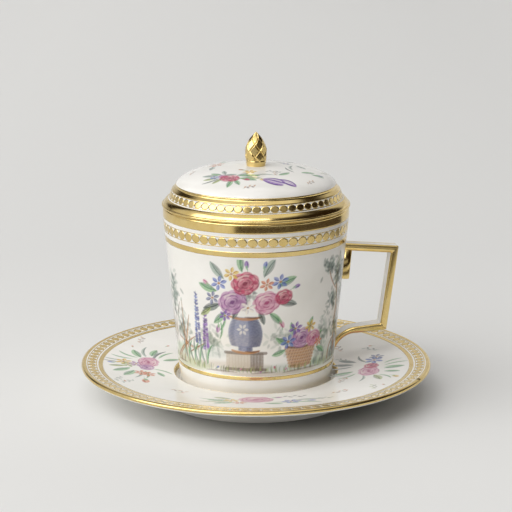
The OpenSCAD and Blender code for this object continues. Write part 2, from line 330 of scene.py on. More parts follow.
def paper_material():
    """Matt white paper with painted shade away from the lamps, behind the piece and to its right."""
    material, tree, shader = new_material("background_paper")
    place = add(tree, "TexCoord").outputs["Object"]
    view = add(tree, "Mapping", Vector=place, Rotation=(0, 0, math.radians(VIEW_TURN)))
    part = add(tree, "SeparateXYZ", Vector=view.outputs[0])
    # Painted shade: the paper is painted darker further behind the piece
    far_shade = add(tree, "MapRange", Value=part.outputs[1], From_Min=-0.2, From_Max=1.8)
    tone = stops(add(tree, "ValToRGB", Fac=far_shade.outputs[0]),
                 (0, linear("#F0F0EE")), (0.22, linear("#E4E4E2")), (1, linear("#E0E0DE")))
    # Painted shade: the paper is painted darker to the right of the piece
    side = add(tree, "MapRange", Value=part.outputs[0], From_Min=-0.2, From_Max=0.2)
    tone = add(tree, "Mix", {"data_type": "RGBA", "blend_type": "MULTIPLY"}, Factor=side.outputs[0],
               s6=tone.outputs[0], s7=linear("#F4F4F4"))
    # A painted shadow: the paper is painted darker in a patch under the saucer, off to its right, which also
    # keeps light from bouncing about there
    away = add(tree, "VectorMath", {"operation": "DISTANCE"}, s0=view.outputs[0], s1=PAINTED_SHADOW_MIDDLE)
    clear = add(tree, "MapRange", {"interpolation_type": "SMOOTHSTEP"}, Value=away.outputs[1],
                From_Min=PAINTED_SHADOW_RADII[0], From_Max=PAINTED_SHADOW_RADII[1])
    tone = add(tree, "Mix", {"data_type": "RGBA"}, Factor=clear.outputs[0],
               s6=linear("#7E7E7C"), s7=tone.outputs[2])
    fibre = add(tree, "TexNoise", Vector=place, Scale=1 / (0.6 * MM), Detail=2.0)
    bump = add(tree, "Bump", Strength=0.1, Distance=0.05 * MM, Height=fibre.outputs[0])
    tree.links.new(tone.outputs[2], shader.inputs["Base Color"])
    tree.links.new(bump.outputs[0], shader.inputs["Normal"])
    shader.inputs["Roughness"].default_value = 0.95
    return material


def cloth_material():
    """Dark brown studio cloth: it keeps the gilding from reflecting pale paper on the side of the camera."""
    return speckled("dark_felt", 2, "#2C2014", "#3A2B1C", 1)


def make(name, points, faces, materials, slots=None, colours=None):
    """A smooth-shaded mesh object from points in millimetres."""
    mesh = bpy.data.meshes.new(name)
    mesh.from_pydata([(x * MM, y * MM, z * MM) for x, y, z in points], [], faces)
    for material in materials:
        mesh.materials.append(material)
    mesh.polygons.foreach_set("use_smooth", [True] * len(mesh.polygons))
    if slots is not None:
        mesh.polygons.foreach_set("material_index", slots)
    if colours is not None:
        layer = mesh.color_attributes.new("paint", "FLOAT_COLOR", "POINT")
        layer.data.foreach_set("color", np.asarray(colours, np.float32).ravel())
    mesh.update()
    piece = bpy.data.objects.new(name, mesh)
    bpy.context.scene.collection.objects.link(piece)
    return piece


def seat(piece, slot, *nodes):
    """Rides a piece on the body and hides the nodes that it stands for; slot is not used."""
    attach(piece, "root")
    if nodes:
        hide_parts(*nodes)
    return piece


def unit(v):
    """The direction of v, one long."""
    return v / np.linalg.norm(v)


def left_of(v):
    """v turned a quarter to the left."""
    return np.array([-v[1], v[0]])


def arc(c, r, start, end, steps=12):
    """Points of an arc about c, from one angle to another, in degrees."""
    turns = np.radians(np.linspace(start, end, steps + 1))
    return [np.array([c[0] + r * math.cos(t), c[1] + r * math.sin(t)]) for t in turns]


def rounded(a, b, c, r, steps=6):
    """Corner b of the outline a, b, c, rounded to radius r, with its straight sides held flat."""
    a, b, c = (np.array(p, float) for p in (a, b, c))
    u, v = unit(a - b), unit(c - b)
    half = math.acos(np.dot(u, v)) / 2
    m = b + unit(u + v) * r / math.sin(half)
    reach = r / math.tan(half)
    p, q = b + u * reach - m, b + v * reach - m
    start = math.degrees(math.atan2(p[1], p[0]))
    sweep = (math.degrees(math.atan2(q[1], q[0])) - start + 540) % 360 - 180
    before = [b + u * (reach + HOLD)] if np.linalg.norm(a - b) > reach + 3 * HOLD else []
    after = [b + v * (reach + HOLD)] if np.linalg.norm(c - b) > reach + 3 * HOLD else []
    return before + arc(m, r, start, start + sweep, steps) + after


def outline(corners):
    """An outline from corners (r, z, rounding); a list among them is a run of points kept as it is."""
    flat = []
    for item in corners:
        if isinstance(item, list):
            flat += [(np.array(p[:2], float), 0) for p in item]
        else:
            flat.append((np.array(item[:2], float), item[2]))
    points = []
    for i, (p, r) in enumerate(flat):
        if r:
            points += rounded(flat[i - 1][0], p, flat[(i + 1) % len(flat)][0], r)
        else:
            points.append(p)
    return points


def lathe(name, section, materials, closed=False):
    """Turns a section about the axis. It runs outwards along the top, down and back underneath."""
    on_axis = [abs(p[0]) < 1e-6 for p in section]
    points, rows = [], []
    for p, centre in zip(section, on_axis):
        if centre:
            rows.append([len(points)] * ROUND)
            points.append((0, 0, p[1]))
        else:
            rows.append(list(range(len(points), len(points) + ROUND)))
            points += [(p[0] * math.cos(t), p[0] * math.sin(t), p[1])
                       for t in (2 * math.pi * i / ROUND for i in range(ROUND))]
    if closed:
        rows.append(rows[0])
    faces = []
    for low, high in zip(rows, rows[1:]):
        for i in range(ROUND):
            j = (i + 1) % ROUND
            ring = [low[i], high[i], high[j], low[j]]
            face = [v for k, v in enumerate(ring) if v != ring[k - 1]]
            if len(face) > 2:
                faces.append(face)
    return make(name, points, faces, materials)


def skin(name, path, materials):
    """A thin band of gilding along a path on a turned surface, with its outer side on the left."""
    path = [np.array(p, float) for p in path]
    normals = [left_of(unit(path[min(i + 1, len(path) - 1)] - path[max(i - 1, 0)])) for i in range(len(path))]
    top = [p + n * GILT_LIFT for p, n in zip(path, normals)]
    under = [p - n * GILT_SINK for p, n in zip(path, normals)]
    return lathe(name, top + under[::-1], materials, closed=True)


def slope_z(r):
    """Height of the saucer's slope at radius r."""
    t = (r - LIP_R) / (SLOPE_END - LIP_R)
    return LIP_Z + (SAUCER_H - LIP_Z) * t - SAUCER_SAG * 4 * t * (1 - t)


def slope(start, end, steps=6):
    """Points along the saucer's slope between two radii."""
    return [np.array([r, slope_z(r)]) for r in np.linspace(start, end, steps + 1)]


def cup_r(z):
    """Outer radius of the cup at height z: a straight taper, drawn in a little under the rim."""
    t = (z - WELL_Z) / CUP_H
    roll = np.maximum(0, (z - RIM_Z) / ROLL + 1)
    return FOOT_R + (RIM_R + DRAW - FOOT_R) * t + SWELL * 4 * t * (1 - t) - DRAW * roll ** 1.4


def bore_r(z):
    """Inner radius of the cup at height z."""
    return cup_r(z) - WALL - (LIP_T - WALL) * (z - WELL_Z) / CUP_H


def wall(start, end, steps=6):
    """Points down the outside of the cup."""
    return [np.array([cup_r(z), z]) for z in np.linspace(start, end, steps + 1)]


def dome(r, z, top, steps=48):
    """Points of a dome from its apex down to radius r at height z."""
    turns = [math.pi / 2 * (1 - i / steps) for i in range(steps + 1)]
    return [np.array([r * max(0, math.cos(t)) ** (2 / DOME_FULL), z + (top - z) * math.sin(t)])
            for t in turns]


def along(a, b, start, end, steps=4):
    """Points on the straight line from a to b, between two shares of it."""
    a, b = np.array(a, float), np.array(b, float)
    return [a + (b - a) * s for s in np.linspace(start, end, steps + 1)]


def moulding(steps=16):
    """The bowed slope of the cover's flange, from the foot of the banded wall down to the bead."""
    a, b = np.array([BAND_LOW[0] + LEDGE, BAND_LOW[1]]), np.array([BEAD_C[0], BEAD_C[1] + BEAD_R])
    out = left_of(unit(b - a))
    return [a + (b - a) * t + out * BULGE * 4 * t * (1 - t) for t in np.linspace(0, 1, steps + 1)]


EDGE_C = (SLOPE_END - GILT_LIFT, SAUCER_H - SAUCER_EDGE / 2)
ROOT_R = FOOT_RING_R + FOOT_RING_W / 2 + FOOT_RING_TAPER
ROOT_Z = slope_z(ROOT_R) - SAUCER_WALL
# Angles at which the round edge meets the slope above it and the underside
EDGE_TOP, EDGE_LOW = 99, -100


def make_saucer(porcelain):
    """The saucer's glazed body, with its well, foot ring and rounded edge."""
    ring_in = FOOT_RING_R - FOOT_RING_W / 2
    ring_out = FOOT_RING_R + FOOT_RING_W / 2
    section = outline([
        (0, WELL_Z, 0), (WELL_R, WELL_Z, SOFT), (LIP_R, LIP_Z, LIP_ROUND),
        slope(SLOPE_START, SLOPE_END - SHY, 30), arc(EDGE_C, SAUCER_EDGE / 2, EDGE_TOP, EDGE_LOW, 24),
        along((SLOPE_END, SAUCER_H - SAUCER_EDGE), (ROOT_R, ROOT_Z), 0.1, 0.9, 6),
        (ROOT_R, ROOT_Z, 2 * SOFT), (ring_out, 0, FOOT_RING_ROUND), (ring_in, 0, FOOT_RING_ROUND),
        (ring_in - FOOT_RING_TAPER, UNDER_Z, SOFT), (0, UNDER_Z, 0)])
    seat(lathe("saucer_body", section, [porcelain]), "glazed_porcelain", "saucer")


def make_cup(porcelain):
    """The cup's glazed body: tapering wall, rounded lip, flat floor and a low foot."""
    foot_in = FOOT_R - FOOT_W
    inner = [np.array([bore_r(z), z]) for z in np.linspace(FLOOR_Z + 1.5 * CORNER, LIP_C[1] - SHY, 25)]
    section = outline([
        (0, FLOOR_Z, 0), (bore_r(FLOOR_Z), FLOOR_Z, CORNER), inner, arc(LIP_C, LIP_T / 2, 180, 0, 20),
        wall(LIP_C[1] - SHY, WELL_Z + 2 * FOOT_EDGE, 60),
        (FOOT_R, WELL_Z, FOOT_EDGE), (foot_in, WELL_Z, SOFT),
        (foot_in - RECESS / 2, WELL_Z + RECESS, SOFT), (0, WELL_Z + RECESS, 0)])
    seat(lathe("cup_body", section, [porcelain]), "glazed_porcelain", "cup")


def make_cover(porcelain):
    """The cover's glazed body: low dome, bevel, banded wall, moulded flange and a collar underneath."""
    section = outline([
        dome(DOME_R, DOME_Z, DOME_TOP), (*BAND_TOP, SOFT), (*BAND_LOW, 0.15),
        moulding(), arc(BEAD_C, BEAD_R, 75, -90, 24),
        (COLLAR_R, RIM_Z, 0.2), (COLLAR_R, COLLAR_Z, SOFT), (INSIDE_R, COLLAR_Z, SOFT),
        (INSIDE_R, SPRING_Z - 3.4, 2 * SOFT),
        dome(BAND_TOP[0] - COVER_WALL, SPRING_Z, DOME_TOP - COVER_WALL, 24)[::-1]])
    seat(lathe("cover_body", section, [porcelain]), "glazed_porcelain", "cover")


def handle_line():
    """The handle's middle line, from the wall out, down and back to the wall, and the tongue's."""
    out = np.array([math.cos(BAR_FALL), -math.sin(BAR_FALL)])
    down = np.array([-math.sin(BAR_LEAN), -math.cos(BAR_LEAN)])
    start = np.array([cup_r(TOP_Z), TOP_Z - BAR_T / 2])
    corner_top = start + out * REACH
    curve_c = np.array([cup_r(WELL_Z + ARM_FOOT) + ARM_R - ROOT, WELL_Z + ARM_FOOT])
    curve_top = curve_c + np.array([0, ARM_R])
    drop = corner_top - curve_top
    fall = math.tan(ARM_FALL)
    share = math.cos(BAR_LEAN) - math.sin(BAR_LEAN) * fall
    corner_low = corner_top + down * (drop[1] - drop[0] * fall) / share

    def station(p, t):
        wide = WIDE_LOW + (WIDE_TOP - WIDE_LOW) * (p[1] - curve_top[1]) / (TOP_Z - curve_top[1])
        return p, t / 2, wide / 2

    strip = [station(start - out * 2 * ROOT, BAR_T), station(corner_top, BAR_T),
             station(corner_low, (BAR_T + ARM_T) / 2)]
    strip += [station(p, ARM_T + (ARM_TIP_T - ARM_T) * (i / 32) ** 0.8)
              for i, p in enumerate(arc(curve_c, ARM_R, 90, ARM_END, 32))]
    tongue = [(np.array([cup_r(z) + (TONGUE_OUT - ROOT) / 2, z]), (TONGUE_OUT + ROOT) / 2, TONGUE_W / 2)
              for z in (TOP_Z - BAR_T - TONGUE_L, TOP_Z - BAR_T / 2)]
    return strip, tongue


def swept(name, line, materials, face_slot=0, ease=0.4, sides=16):
    """A bar swept along a line, with two flat faces, rounded sides, eased mitres and an eased first end."""
    last = len(line) - 1
    runs = [unit(line[i + 1][0] - line[i][0]) for i in range(last)]
    shape = []
    for side in (1, -1):
        shape.append((side, side, 0.0, 3 * HOLD))
        shape += [(side * math.cos(math.pi * k / sides), side, math.sin(math.pi * k / sides), 0)
                  for k in range(sides + 1)]
        shape.append((-side, side, 0.0, 3 * HOLD))
    bare = (len(shape) // 2 - 1, len(shape))
    shape += [(1, -1, 0.0, OUTER_EDGE), (1, 1, 0.0, OUTER_EDGE)]

    def ring(p, across, half, wide, shrink=0.0):
        half, wide = half - shrink, wide - shrink
        return np.array([(p[0] + across[0] * half * out, side * (wide + SIDE_SWELL * swell - inward),
                          p[1] + across[1] * half * out) for out, side, swell, inward in shape])

    rings = []
    for i, (p, half, wide) in enumerate(line):
        before, after = runs[max(i - 1, 0)], runs[min(i, last - 1)]
        a, b = left_of(before), left_of(after)
        corner = ring(p, (a + b) / (1 + np.dot(a, b)), half, wide)
        turn = math.degrees(math.acos(min(1, np.dot(before, after))))
        back, on = (np.array([v[0], 0, v[1]]) for v in (before, after))
        if turn > 30:
            rings.append(corner - back * (ease + 3 * HOLD))
            for t in np.linspace(0, 1, 7):
                rings.append(corner - back * ease * (1 - t) ** 2 + on * ease * t ** 2)
            rings.append(corner + on * (ease + 3 * HOLD))
        elif i == 0:
            for t in np.linspace(0, 1, 5):
                end = ring(p, a, half, wide, END_EASE * (1 - math.sqrt(1 - (1 - t) ** 2)))
                rings.append(end + on * END_EASE * t)
        else:
            rings.append(corner)
    count = len(shape)
    points = np.concatenate(rings)
    faces, slots = [], []
    for i in range(len(rings) - 1):
        for k in range(count):
            n = (k + 1) % count
            faces.append((i * count + k, i * count + n, i * count + count + n, i * count + count + k))
            slots.append(face_slot if k in bare else 0)
    faces += [tuple(range(count))[::-1], tuple(range(len(points) - count, len(points)))]
    return make(name, points, faces, materials, slots + [0, 0])


def make_handle(gilding, porcelain):
    """The square handle: gilt, but for the inner face of its bars and a strip on their outer face."""
    strip, tongue = handle_line()
    seat(swept("cup_handle", strip, [gilding, porcelain], 1), "gilding", "cup")
    seat(swept("cup_handle_tongue", tongue, [gilding]), "gilding", "cup")


def bud_outline(z):
    """Radius of the bud without its scales at height z above its root."""
    u = z / (BUD_ROOT + BUD_H)
    low = BUD_R - (BUD_R - BUD_BASE_R) * (np.maximum(0, BUD_BELLY - u) / BUD_BELLY) ** 2
    high = BUD_R * (1 - np.clip((u - BUD_BELLY) / (1 - BUD_BELLY), 0, 1) ** BUD_POINT)
    return np.where(u < BUD_BELLY, low, high)


def bud_side(turn, z):
    """Radius of the bud with its diamond scales, and the grooves between them."""
    length = BUD_ROOT + BUD_H
    pitch = (BUD_H - BUD_COLLAR) / (SCALE_ROWS + 0.75)
    plain = bud_outline(z)
    face, way = plain * (1 + SCALE_CORNER), np.full(z.shape, 9.0)
    for row in range(SCALE_ROWS):
        mid = BUD_ROOT + BUD_COLLAR + pitch * (row + 0.85)
        place = turn * SCALE_COUNT / 360 + (row % 2) / 2 + SCALE_TURN
        place = place - np.round(place)
        lean = (bud_outline(np.array(mid + 0.1)) - bud_outline(np.array(mid - 0.1))) / 0.2
        flat = (bud_outline(np.array(mid)) + lean * (z - mid)) / np.cos(np.radians(place * 360 / SCALE_COUNT))
        face = np.minimum(face, flat)
        way = np.minimum(way, 2 * np.abs(place) + np.abs(z - mid) / pitch)
    groove = np.clip((way - GROOVE_FROM) / (1 - GROOVE_FROM), 0, 1)
    groove = SCALE_GROOVE * groove ** 2 * (3 - 2 * groove)
    share = np.minimum(np.clip((z - BUD_ROOT - BUD_COLLAR) / SCALE_GROOVE, 0, 1),
                       np.clip((length - z) * 6 / length, 0, 1))
    return plain + share * (face - groove - plain)


def make_bud(gilding):
    """The finial: a gilt, pointed bud of diamond scales over a plain collar."""
    around, rings = 216, 132
    turn, z = np.meshgrid(360 * np.arange(around) / around, (BUD_ROOT + BUD_H) * np.arange(rings) / rings)
    r = bud_side(turn, z)
    low = DOME_TOP - BUD_ROOT
    points = np.stack((r * np.cos(np.radians(turn)), r * np.sin(np.radians(turn)), z + low), axis=-1)
    points = np.concatenate((points.reshape(-1, 3), [(0, 0, DOME_TOP + BUD_H)]))
    faces = [tuple(range(around))[::-1]]
    for j in range(rings - 1):
        for i in range(around):
            a, b = j * around + i, j * around + (i + 1) % around
            faces.append((a, b, b + around, a + around))
    tip = around * rings
    faces += [(tip - around + i, tip - around + (i + 1) % around, tip) for i in range(around)]
    seat(make("cover_bud", points, faces, [gilding]), "gilding", "cover")


def disc_row(name, count, turn, place, size, material):
    """A row of gilt discs joined side by side round a turned surface.

    place(y) gives the surface's section point and its outward direction at y millimetres across the band.
    """
    rings, spokes = 4, 24
    points, faces = [], []
    for c in range(count):
        middle = turn + 2 * math.pi * c / count
        base = len(points)
        for lift in (GILT_LIFT, -GILT_SINK):
            for k in range(rings + 1):
                for s in range(spokes if k else 1):
                    t = 2 * math.pi * s / spokes
                    x, y = size[0] / 2 * k / rings * math.cos(t), size[1] / 2 * k / rings * math.sin(t)
                    p, n = place(y)
                    q = p + n * lift
                    a = middle + x / p[0]
                    points.append((q[0] * math.cos(a), q[0] * math.sin(a), q[1]))
        half = 1 + rings * spokes
        for under in (0, 1):
            b = base + under * half
            for s in range(spokes):
                n = (s + 1) % spokes
                fan = [(b, b + 1 + s, b + 1 + n)]
                fan += [(b + 1 + (k - 1) * spokes + s, b + 1 + k * spokes + s,
                         b + 1 + k * spokes + n, b + 1 + (k - 1) * spokes + n) for k in range(1, rings)]
                faces += [f[::-1] if under else f for f in fan]
        edge = base + 1 + (rings - 1) * spokes
        faces += [(edge + s, edge + half + s, edge + half + (s + 1) % spokes, edge + (s + 1) % spokes)
                  for s in range(spokes)]
    seat(make(name, points, faces, [material]), "gilding")


def chain_turn(bearing):
    """Plan angle of a bearing from the front, to the right as seen from there."""
    return math.radians(bearing - 90 - VIEW_TURN)


def on_line(a, b):
    """Place across a straight band from its lower edge a to its upper edge b, measured from its middle."""
    a, b = np.array(a, float), np.array(b, float)
    up = unit(b - a)
    return lambda y: ((a + b) / 2 + up * y, left_of(-up))


def on_wall(z):
    """Place across a band on the cup's wall, measured from height z."""
    def place(y):
        up = unit(np.array([cup_r(z + y + 0.1) - cup_r(z + y - 0.1), 0.2]))
        return np.array([cup_r(z + y), z + y]), left_of(-up)
    return place


def on_slope(r):
    """Place across a band on the saucer's slope, measured inwards from radius r."""
    def place(y):
        out = unit(np.array([0.2, slope_z(r - y + 0.1) - slope_z(r - y - 0.1)]))
        return np.array([r - y, slope_z(r - y)]), left_of(out)
    return place


def gild_saucer(gilding):
    """Gilt edge, chain of discs between fine lines, inner line and a ring on the lip of the well."""
    edge = slope(GILT_EDGE_FROM, SLOPE_END - SHY, 3)
    edge += arc(EDGE_C, SAUCER_EDGE / 2, EDGE_TOP, GILT_EDGE_END, 16)
    seat(skin("saucer_edge_gilding", edge, [gilding]), "gilding")
    for name, start, end in SAUCER_LINES:
        seat(skin(name, slope(start, end), [gilding]), "gilding")
    lip = rounded((WELL_R, WELL_Z), (LIP_R, LIP_Z), (SLOPE_START, slope_z(SLOPE_START)), LIP_ROUND)
    well = along((WELL_R, WELL_Z), (LIP_R, LIP_Z), WELL_RING_FROM, 0.7, 2) + lip[:-2]
    seat(skin("saucer_well_ring", well, [gilding]), "gilding")
    count, turn, r, size = SAUCER_CHAIN
    disc_row("saucer_chain", count, chain_turn(turn), on_slope(r), size, gilding)


def gild_cup(gilding):
    """Gilt rim, chain of discs between fine lines, and the two lines that frame the painting."""
    rim = arc(LIP_C, LIP_T / 2, 75, 0, 10) + wall(LIP_C[1] - SHY, GILT_RIM_LOW)
    seat(skin("cup_rim_gilding", rim, [gilding]), "gilding")
    for name, top, low in CUP_LINES:
        seat(skin(name, wall(top, low), [gilding]), "gilding")
    count, turn, z, size = CUP_CHAIN
    disc_row("cup_chain", count, chain_turn(turn), on_wall(z), size, gilding)


def gild_cover(gilding):
    """Gilt flange and bevel, with the chain of discs between fine lines on the wall that they frame."""
    flange = moulding() + arc(BEAD_C, BEAD_R, 70, -60, 16)
    seat(skin("cover_flange_gilding", flange, [gilding]), "gilding")
    bevel = along(BAND_LOW, BAND_TOP, 0.89, 1, 2) + along(BAND_TOP, (DOME_R, DOME_Z), 0.06, 1, 5)
    bevel += [(r, dome_z(r)) for r in (30.76, 30.7, 30.6)]
    seat(skin("cover_bevel_gilding", bevel, [gilding]), "gilding")
    line = along(BAND_TOP, BAND_LOW, 0.84, 0.92)
    seat(skin("cover_chain_line_low", line, [gilding]), "gilding")
    count, turn, size = COVER_CHAIN
    disc_row("cover_chain", count, chain_turn(turn), on_line(BAND_LOW, BAND_TOP), size, gilding)


# Enamel colours on the painter's palette, most of them as a pale wash and a deeper shade
PINK = ("#DF9FBE", "#A8356F")
MAUVE = ("#C795C4", "#743A7C")
CRIMSON = ("#CF5076", "#7E163A")
VIOLET = ("#9468C4", "#4A2080")
BLUE = ("#7C90D6", "#303F9A")
SLATE = ("#8088B0", "#343A5E")
YELLOW = ("#EBCB5E", "#B87A22")
ORANGE = ("#E0895C", "#A83F22")
WHITE = ("#FBF6EF", "#C9BFD0")
LEAF = ("#93C292", "#2C7450")
OLIVE = ("#B4C282", "#5D6C36")
SAGE = ("#A6B9B0", "#566C65")
DUSK = ("#6C7D78", "#232C2E")
BROWN = ("#C9935F", "#65351B")
STONE = ("#D6CABB", "#7E6E63")


class Sheet:
    """A rectangle of glaze to paint on: a fine grid of colour, in millimetres across and up."""

    def __init__(self, left, right, low, high, cell):
        self.x = np.arange(left, right + cell / 2, cell)
        self.y = np.arange(low, high + cell / 2, cell)
        self.colour = np.ones((len(self.y), len(self.x), 3))
        # Hair marks of the brush: the colour is a little thinner in places
        grain = HAND.uniform(0.86, 1, (len(self.y) // 2 + 1, len(self.x) // 2 + 1))
        self.grain = np.kron(grain, np.ones((2, 2)))[:len(self.y), :len(self.x)]


def stroke(sheet, path, wide, colour, strength=0.85, ends=0.3, soft=0.15):
    """One stroke of a loaded brush along a path: widest in its middle, soft at its edges."""
    path = np.asarray(path, float)
    reach = wide / 2 + soft
    rows = slice(*np.searchsorted(sheet.y, (path[:, 1].min() - reach, path[:, 1].max() + reach)))
    cols = slice(*np.searchsorted(sheet.x, (path[:, 0].min() - reach, path[:, 0].max() + reach)))
    x, y = np.meshgrid(sheet.x[cols], sheet.y[rows])
    if not x.size:
        return
    steps = np.diff(path, axis=0)
    lengths = np.maximum(1e-6, np.hypot(steps[:, 0], steps[:, 1]))
    cover, done = np.zeros(x.shape), 0
    for a, step, length in zip(path, steps, lengths):
        run = np.clip(((x - a[0]) * step[0] + (y - a[1]) * step[1]) / length, 0, length)
        away = np.hypot(x - a[0] - run * step[0] / length, y - a[1] - run * step[1] / length)
        share = (done + run) / lengths.sum()
        half = wide / 2 * (ends + (1 - ends) * np.sin(np.pi * share) ** 0.7)
        cover = np.maximum(cover, np.clip((half - away) / (2 * soft) + 0.5, 0, 1))
        done += length
    cover = (cover * cover * (3 - 2 * cover) * strength * sheet.grain[rows, cols])[..., None]
    sheet.colour[rows, cols] += (np.array(linear(colour)[:3]) - sheet.colour[rows, cols]) * cover


def bow(a, b, bulge=0.0, steps=7):
    """A path from a to b that bulges to its left by a share of its length."""
    a, b = np.array(a, float), np.array(b, float)
    t = np.linspace(0, 1, steps + 1)[:, None]
    return a + (b - a) * t + left_of(b - a) * bulge * 4 * t * (1 - t)


def at(x, y, turn=0.0, size=1.0, long=1.0):
    """Sets a motif drawn about (0, 0) down at (x, y): stretched along itself, sized and turned."""
    c, s = math.cos(math.radians(turn)), math.sin(math.radians(turn))

    def moved(points):
        p = np.asarray(points, float) * (size * long, size)
        return np.stack((x + p[:, 0] * c - p[:, 1] * s, y + p[:, 0] * s + p[:, 1] * c), axis=1)
    return moved


def mark(sheet, move, a, b, bulge, *brush):
    """A bowed stroke of a motif from a to b."""
    stroke(sheet, move(bow(a, b, bulge)), *brush)


def round_point(turn, r):
    """The point at an angle in degrees and a radius about (0, 0)."""
    return np.array([r * math.cos(math.radians(turn)), r * math.sin(math.radians(turn))])


def leaf(sheet, x, y, turn, size, hues=LEAF):
    """A leaf from its stalk to its tip: a pale blade, one side shaded, and a fine vein."""
    move = at(x, y, turn, size)
    mark(sheet, move, (0, 0), (1, 0), 0.08, 0.3 * size, hues[0], 0.85, 0.08)
    mark(sheet, move, (0.05, 0), (0.97, 0), -0.1, 0.13 * size, hues[1], 0.6, 0.1)
    mark(sheet, move, (0, 0), (0.9, 0), 0.05, 0.05 * size + 0.1, hues[1], 0.8, 0.3, 0.1)


def blade(sheet, x, y, turn, size, hues=LEAF):
    """A narrow leaf or stem in one quick stroke."""
    move = at(x, y, turn, size)
    mark(sheet, move, (0, 0), (1, 0), 0.12, 0.08 * size + 0.25, hues[0], 0.85, 0.1)
    mark(sheet, move, (0.1, 0), (1, 0), 0.09, 0.03 * size + 0.15, hues[1], 0.8, 0.2, 0.1)


def rose(sheet, x, y, turn, size, hues=PINK, long=1.3):
    """A full rose: pale outer petals, folds that grow closer inwards, and shade on its lower side."""
    move = at(x, y, turn, size / 2, long)

    def fold(a, half, r, bulge, *brush):
        mark(sheet, move, round_point(a - half, r), round_point(a + half, r), bulge, *brush)

    for k in range(7):
        fold(51.4 * k + 10, 28, 0.66, -0.2, 0.3 * size, hues[0], 0.8, 0.5)
    stroke(sheet, move([(-0.3, 0), (0.3, 0)]), 0.5 * size, hues[0], 0.85, 0.7)
    mark(sheet, move, (-0.55, -0.5), (0.75, -0.35), 0.3, 0.2 * size, hues[1], 0.4, 0.3, 0.3)
    for r, a, wide in ((0.86, 250, 0.05), (0.8, 330, 0.05), (0.7, 40, 0.05), (0.72, 130, 0.045),
                       (0.66, 200, 0.055), (0.55, 290, 0.06), (0.48, 60, 0.05), (0.45, 165, 0.055),
                       (0.34, 250, 0.06), (0.3, 20, 0.06)):
        fold(a, 42, r, -0.3, wide * size, hues[1], 0.65, 0.2)
    for r, a in ((0.62, 75), (0.6, 110), (0.4, 110)):
        fold(a, 24, r, -0.2, 0.07 * size, WHITE[0], 0.5, 0.3)
    stroke(sheet, move([(-0.12, -0.04), (0.12, 0.02)]), 0.15 * size, hues[1], 0.85, 0.5)


def daisy(sheet, x, y, turn, size, hues=BLUE, long=1.15):
    """A simple flower: separate petals, each darker at its root, round a yellow heart."""
    move = at(x, y, turn, size / 2, long)
    for k in range(6):
        a = 60 * k
        stroke(sheet, move([round_point(a, 0.25), round_point(a, 0.92)]), 0.24 * size, hues[0], 0.85, 0.3)
        vein = 0.07 * size
        mark(sheet, move, round_point(a, 0.2), round_point(a + 8, 0.85), 0.1, vein, hues[1], 0.75, 0.3, 0.1)
    stroke(sheet, move([(-0.06, 0), (0.06, 0)]), 0.16 * size, YELLOW[1], 0.9, 0.8)


def crocus(sheet, x, y, turn, size, hues=VIOLET):
    """A long flower on its side: two folded petal groups, with pale light between them and a yellow root."""
    move = at(x, y, turn, size)
    stroke(sheet, move([(-0.06, 0.02), (0.1, 0.02)]), 0.16 * size, YELLOW[0], 0.85, 0.4)
    for a, b, bulge, wide in (
            ((0, 0.02), (0.62, -0.2), -0.14, 0.15), ((0.02, 0.08), (0.66, -0.02), 0.1, 0.14),
            ((0.04, 0.04), (0.66, -0.12), -0.02, 0.13), ((0.5, 0.1), (1.0, -0.12), 0.12, 0.14),
            ((0.56, 0), (1.0, -0.15), -0.1, 0.1)):
        mark(sheet, move, a, b, bulge, wide * size, hues[0], 0.9, 0.2)
    for a, b, bulge in (((0.1, 0.1), (0.6, -0.02), 0.06), ((0.12, 0.01), (0.55, -0.16), -0.04),
                        ((0.6, 0.07), (0.95, -0.08), 0.1)):
        mark(sheet, move, a, b, bulge, 0.05 * size, WHITE[0], 0.7, 0.1, 0.12)
    for a, b, bulge in (((0.04, -0.04), (0.62, -0.25), -0.16), ((0.1, 0.12), (0.64, 0.04), 0.14),
                        ((0.1, 0.05), (0.66, -0.09), 0.02), ((0.5, 0.13), (1.0, -0.08), 0.16),
                        ((0.58, 0), (1, -0.17), -0.12)):
        mark(sheet, move, a, b, bulge, 0.05 * size, hues[1], 0.9, 0.2, 0.1)


def bud(sheet, x, y, turn, size, hues=PINK):
    """A closed bud in its green cup, on a short stalk."""
    move = at(x, y, turn, size)
    stroke(sheet, move([(-0.5, 0), (0.1, 0)]), 0.16, LEAF[1], 0.8, 0.5, 0.1)
    mark(sheet, move, (0.2, 0), (1, 0), 0.05, 0.5 * size, hues[0], 0.85, 0.2)
    mark(sheet, move, (0.3, 0), (1, 0), -0.1, 0.14 * size, hues[1], 0.8, 0.2, 0.1)
    mark(sheet, move, (0, 0), (0.45, 0), 0.2, 0.24 * size, LEAF[0], 0.85, 0.4)


def sprig(sheet, x, y, turn, size, hues=BROWN):
    """A loose twig: a fine stalk with small leaves along it, on both sides in turn."""
    move = at(x, y, turn, size)
    mark(sheet, move, (0, 0), (1, 0), 0.12, 0.22, hues[1], 0.6, 0.4, 0.1)
    for k in range(5):
        s = 0.15 + 0.2 * k
        side = (-1) ** k
        root = (s, 0.1 * math.sin(math.pi * s))
        tip = (s + 0.17, root[1] + side * 0.17)
        mark(sheet, move, root, tip, 0.1 * side, 0.09 * size + 0.2, hues[k % 2], 0.7, 0.2, 0.12)


def bouquet(sheet, bearing, r, parts):
    """Paints motifs about a place on a round piece.

    x runs round it, to the right as seen from outside, and y runs inwards.
    """
    turn = bearing - VIEW_TURN
    move = at(*polar(bearing, r), turn)
    for motif, x, y, aim, size, *hues in parts:
        px, py = move([(x, y)])[0]
        motif(sheet, px, py, turn + aim, size, *hues)


def polar(bearing, r):
    """Plan place at a radius and a bearing from the front, in degrees, to the right as seen from there."""
    return round_point(bearing - 90 - VIEW_TURN, r)


